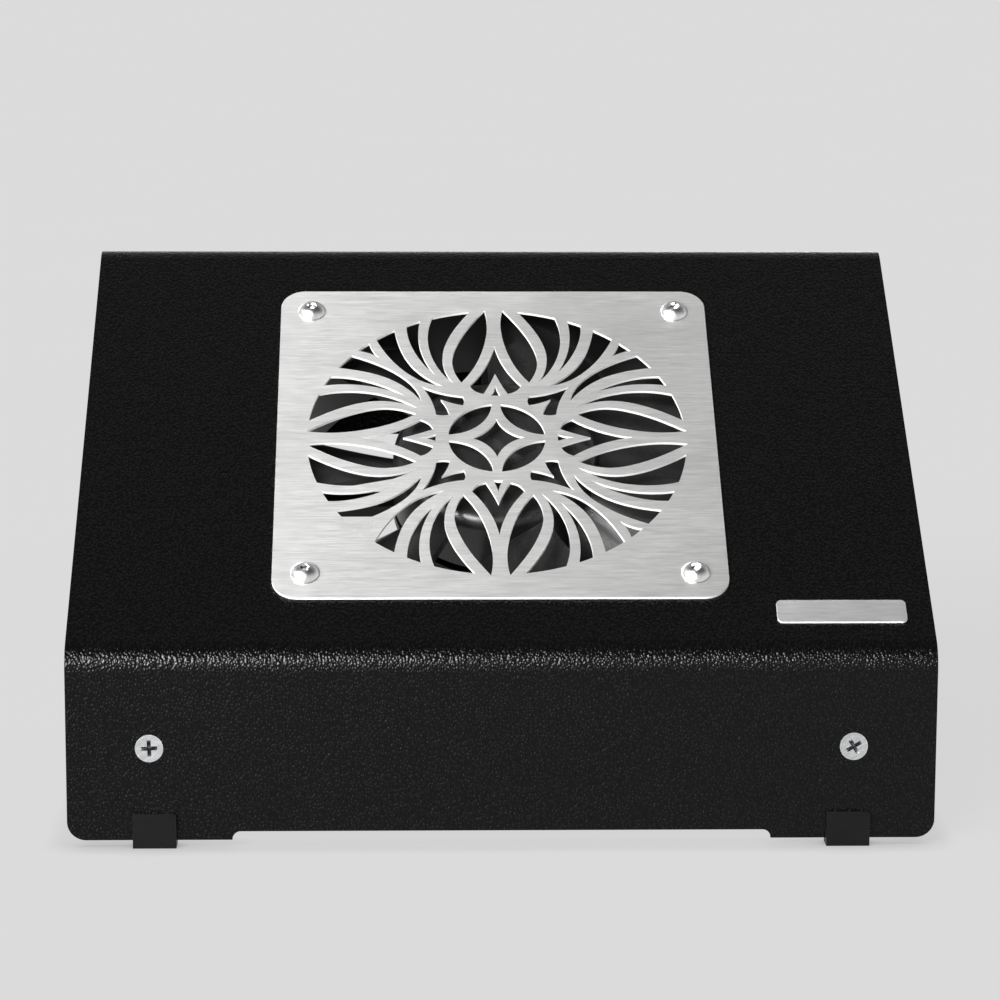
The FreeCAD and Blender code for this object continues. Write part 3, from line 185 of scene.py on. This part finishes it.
def moulded(name, colour, low_rough, high_rough, grain=1600, depth=0.00003, strength=0.3, shine=0.5):
    """Moulded plastic or rubber: an even fine grain, paler where edges are rubbed."""
    n = Nodes(name)
    where = n.place()
    pits = n.noise(where, grain, 3, 0.6)
    cloud = n.noise(where, 90, 3)
    shade = n.mix(n.ramp(cloud, 0.0, 1.0, 0.3, 0.7), tuple(part * 0.8 for part in colour),
                  tuple(min(1.0, part * 1.2) for part in colour))
    rubbed = tuple(min(1.0, part * 1.6 + 0.01) for part in colour)
    shade = n.mix(n.math("MULTIPLY", n.edge_wear(0.0003, 0.8, 0.97), 0.5), shade, rubbed)
    return n.surface(Base_Color=shade, Roughness=n.ramp(pits, low_rough, high_rough, 0.3, 0.7),
                     Specular_IOR_Level=shine, Normal=n.bump(pits, strength, depth))


def floor_paint():
    """Pale paper with a painted contact shadow: darker only where something stands right next to it."""
    n = Nodes("studio_paper")
    where = n.place()
    shade = n.mix(n.noise(where, 6, 3), (0.028, 0.028, 0.028), (0.032, 0.032, 0.032))
    # painted contact shadow: the glow drops from FLOOR_GLOW to 0.32 where something stands close by
    glow_with_painted_shadow = n.ramp(n.corners(0.009, 0.0, 1.0), 0.32, FLOOR_GLOW)
    return n.surface(Base_Color=shade, Roughness=1.0, Specular_IOR_Level=0.0,
                     Emission_Color=(1.0, 1.0, 1.0), Emission_Strength=glow_with_painted_shadow,
                     Normal=n.bump(n.noise(where, 900, 2), 0.05, 0.0002))


# each material slot of the record: colour, then its lowest and highest roughness
on_deck = (-DECK_TILT, 0, 0)
makers = {
    "black_powder_coat": powder_coat,
    "brushed_plate": lambda name: brushed(name, (0.75, 0.75, 0.74), on_deck, 0.42, 0.54),
    "label_foil": lambda name: brushed(name, (0.90, 0.90, 0.90), on_deck, 0.40, 0.5, 0.6),
    "polished_screw": lambda name: turned_metal(name, (0.90, 0.90, 0.90), 0.16, 0.26),
    "zinc_plate": lambda name: turned_metal(name, (0.57, 0.58, 0.59), 0.26, 0.4,
                                            recess=(0.0025, 0.45, 0.85), painted_recess_shade=0.10),
    "bright_steel": lambda name: turned_metal(name, (0.62, 0.62, 0.63), 0.22, 0.36),
    "core_steel": lambda name: brushed(name, (0.33, 0.33, 0.35), on_deck, 0.4, 0.6, cut_tint_and_painted_highlight=(0.4, 0.4, 0.42)),
    "terminal_brass": lambda name: turned_metal(name, (0.78, 0.60, 0.30), 0.25, 0.4),
    "sintered_bronze": lambda name: turned_metal(name, (0.50, 0.32, 0.18), 0.4, 0.6),
    "copper_wire": lambda name: turned_metal(name, (0.72, 0.33, 0.16), 0.25, 0.4),
    "black_rubber": lambda name: moulded(name, (0.003, 0.003, 0.003), 0.36, 0.5, 1200, shine=0.10),
    "gasket_rubber": lambda name: moulded(name, (0.02, 0.02, 0.02), 0.8, 0.95, 700, 0.0002, 0.6),
    "fan_plastic": lambda name: moulded(name, (0.005, 0.005, 0.0052), 0.34, 0.44, shine=0.2),
    "impeller_plastic": lambda name: moulded(name, (0.009, 0.009, 0.0092), 0.26, 0.38, shine=0.45),
    "switch_plastic": lambda name: moulded(name, (0.014, 0.014, 0.014), 0.42, 0.55),
    "lever_plastic": lambda name: moulded(name, (0.012, 0.012, 0.012), 0.14, 0.22, 400, 0.00001, 0.1),
    "white_plastic": lambda name: moulded(name, (0.80, 0.80, 0.77), 0.35, 0.5),
    "circuit_board": lambda name: moulded(name, (0.03, 0.16, 0.07), 0.3, 0.42, 500),
    "ferrite": lambda name: moulded(name, (0.05, 0.045, 0.045), 0.6, 0.75),
    "red_lead": lambda name: moulded(name, (0.45, 0.02, 0.02), 0.3, 0.42, 300, 0.00002, 0.1),
    "black_lead": lambda name: moulded(name, (0.015, 0.015, 0.015), 0.3, 0.42, 300, 0.00002, 0.1),
}

slot_of = {entry["node"]: entry["material_slot"] for entry in frame["record"]["subparts"]}
made = {slot: makers[slot](slot) for slot in sorted(set(slot_of.values()))}
for name, obj in nodes.items():
    for index in range(max(1, len(obj.material_slots))):
        if not obj.material_slots:
            obj.data.materials.append(None)
        obj.material_slots[index].material = made[slot_of[name]]


# -------------------------------------------------------------------- stage

def flat_floor(reach, material):
    """A square sheet at the height the feet stand on."""
    mesh = bpy.data.meshes.new("floor")
    corners = [(-reach, -reach, 0), (reach, -reach, 0), (-reach, reach, 0), (reach, reach, 0)]
    mesh.from_pydata(corners, [], [(0, 1, 3, 2)])
    mesh.materials.append(material)
    obj = bpy.data.objects.new("floor", mesh)
    bpy.context.scene.collection.objects.link(obj)
    return obj


floor = flat_floor(20, floor_paint())


class Sky(Nodes):
    """The studio's light as it arrives from each direction."""

    def __init__(self):
        self.world = bpy.data.worlds.new("studio")
        self.world.use_nodes = True
        self.tree = self.world.node_tree
        self.shader = self.tree.nodes["Background"]
        self.shader.inputs["Color"].default_value = (1, 1, 1, 1)
        self.direction = self.add("ShaderNodeTexCoord").outputs["Generated"]

    def step(self, value, low, high, start, end):
        """low before start and high after end, smooth between them."""
        return self.add("ShaderNodeMapRange", {
            "Value": value, "From Min": start, "From Max": end, "To Min": low, "To Max": high,
        }, interpolation_type="SMOOTHSTEP").outputs["Result"]

    def soft_light(self, middle, spread, strength):
        """A light that fades out from its middle, by a spread of its own in X, Y and Z."""
        apart = self.add("ShaderNodeVectorMath", {0: self.direction, 1: Vector(middle).normalized()},
                         operation="SUBTRACT").outputs[0]
        scaled = self.add("ShaderNodeVectorMath", {0: apart, 1: spread}, operation="DIVIDE").outputs[0]
        square = self.add("ShaderNodeVectorMath", {0: scaled, 1: scaled},
                          operation="DOT_PRODUCT").outputs["Value"]
        return self.math("MULTIPLY", self.math("EXPONENT", self.math("MULTIPLY", square, -1.0)), strength)


sky = Sky()
_, along, height = sky.split(sky.direction)

# a key light from the front left that ends above the horizon, so it shows on the fold but not on the front
key = sky.soft_light((-0.49, -0.76, 0.44), (0.25, 0.6, 0.14), 72.0)
key = sky.math("MULTIPLY", key, sky.step(height, 0.0, 1.0, 0.15, 0.32))

# weaker lights close to the horizon, which only catch the coat's pebbles
front_fill = sky.soft_light((-0.55, -0.83, 0.06), (0.33, 0.5, 0.14), 6.0)
rear_fill = sky.soft_light((0.45, 0.88, 0.08), (0.4, 0.5, 0.14), 6.0)

# walls as bright as the floor, under a ceiling that is darker towards the front
ceiling = sky.step(along, 0.085, 0.32, -0.2, 0.6)
room = sky.mix(sky.step(height, 0.0, 1.0, 0.15, 0.75), (FLOOR_LEVEL, FLOOR_LEVEL, FLOOR_LEVEL), ceiling)

light = sky.math("ADD", sky.math("ADD", key, sky.math("ADD", front_fill, rear_fill)), room)
sky.tree.links.new(light, sky.shader.inputs["Strength"])
bpy.context.scene.world = sky.world
bpy.context.scene.view_settings.view_transform = "Standard"


# ------------------------------------------------------------------- camera

YAW, PITCH, ROLL = (math.radians(angle) for angle in (1.596, 9.952, 0.208))
forward = Vector((math.sin(YAW) * math.cos(PITCH), math.cos(YAW) * math.cos(PITCH), -math.sin(PITCH)))
right = Vector((math.cos(YAW), -math.sin(YAW), 0))
up = right.cross(forward)
rolled_right = math.cos(ROLL) * right + math.sin(ROLL) * up
rolled_up = math.cos(ROLL) * up - math.sin(ROLL) * right
camera = bpy.data.objects.new("camera", bpy.data.cameras.new("camera"))
camera.data.sensor_width = 36
camera.data.lens = 124.11
camera.matrix_world = Matrix((rolled_right, rolled_up, -forward)).transposed().to_4x4()
camera.location = (-0.02554, -0.95820, 0.24858)
bpy.context.scene.collection.objects.link(camera)
bpy.context.scene.camera = camera
